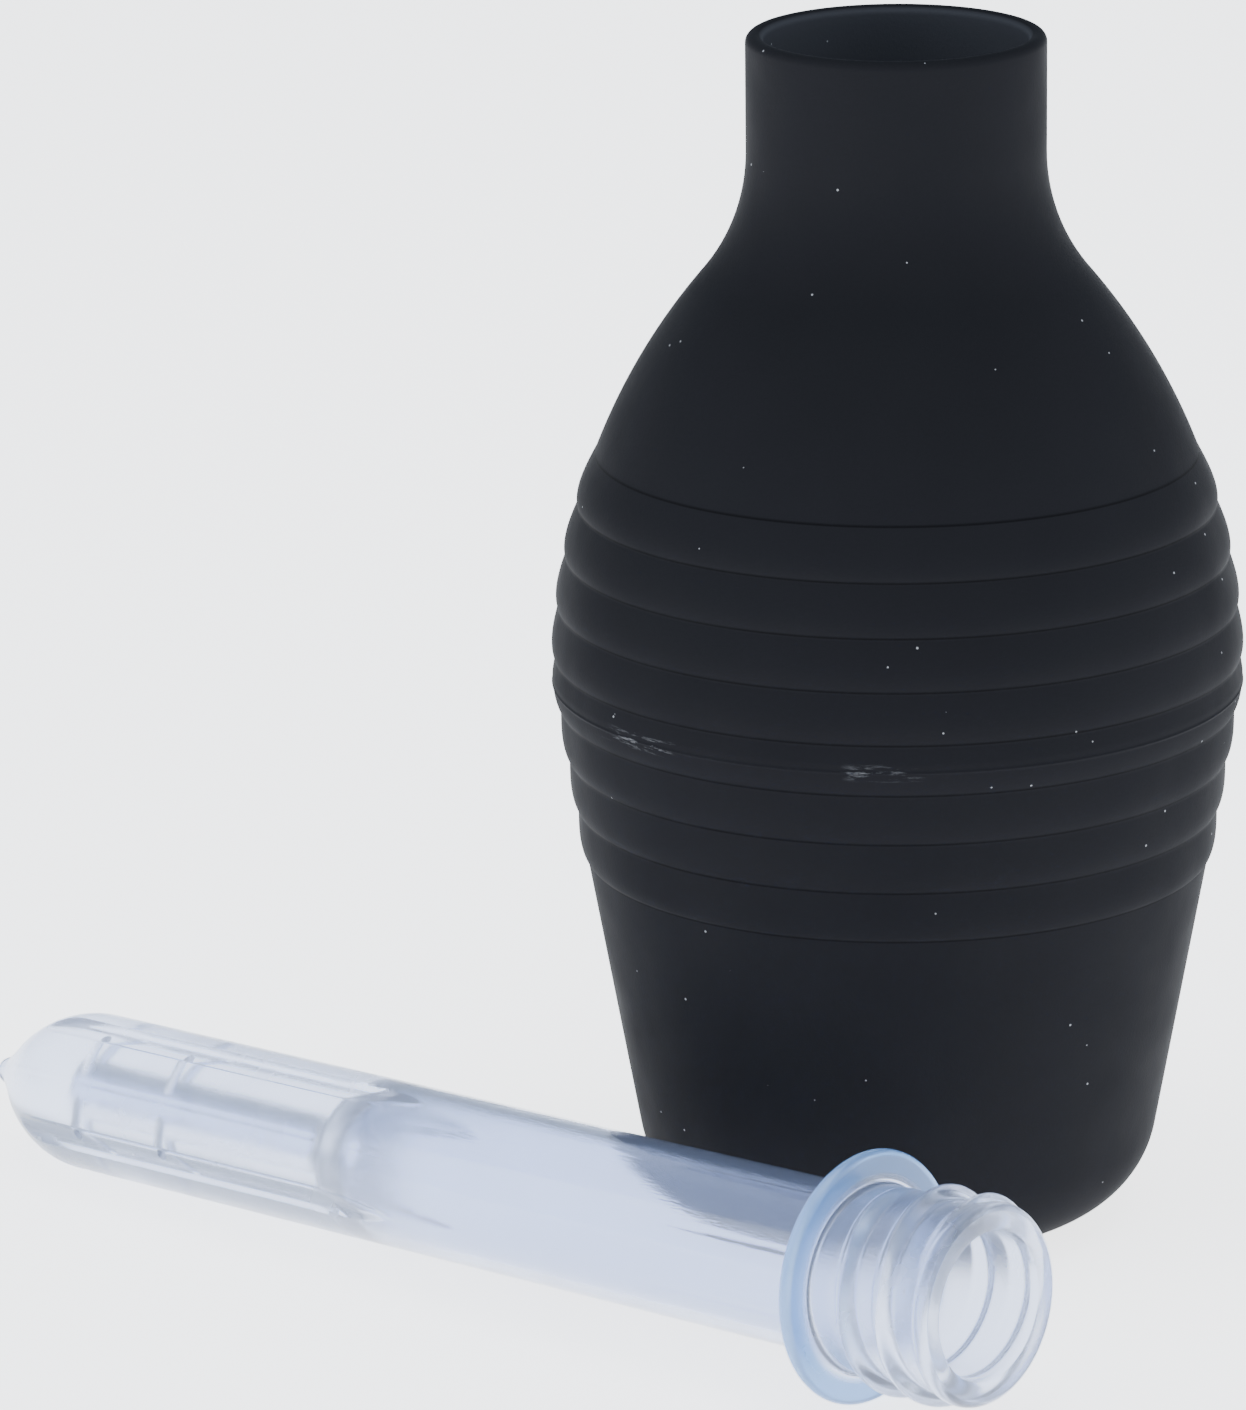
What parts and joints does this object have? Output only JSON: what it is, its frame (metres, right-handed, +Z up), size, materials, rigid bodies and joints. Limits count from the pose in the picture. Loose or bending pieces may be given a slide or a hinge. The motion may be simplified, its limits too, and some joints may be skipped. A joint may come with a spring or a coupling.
{
  "type": "squeeze bulb with screw-in nozzle",
  "caption": "Round-bellied black rubber squeeze bulb with raised grip bands and an open neck, and a clear flanged screw-in tube nozzle with a fluted round nose that lies beside it.",
  "frame": {"origin": "centre of the bulb's flat foot, on the table", "axes": "+Z up the bulb's axis to its mouth, +X along the nozzle from its nose towards its threaded end, -Y from the bulb to the nozzle"},
  "size_m": [0.1483, 0.1026, 0.1337],
  "materials": {
    "black_rubber": "matte",
    "black_plastic": "satin",
    "clear_plastic": "gloss"
  },
  "bodies": {
    "bulb_body": {"bulb": "black_rubber", "neck_bush": "black_plastic"},
    "nozzle_body": {"nozzle": "clear_plastic"}
  },
  "joints": [
    {"name": "nozzle_turn", "type": "hinge", "parent": "bulb_body", "child": "nozzle_body", "pos_m": [0.0557, -0.0507, 0.01439], "axis": [0.9992, 0, 0.0412], "continuous": true}
  ]
}
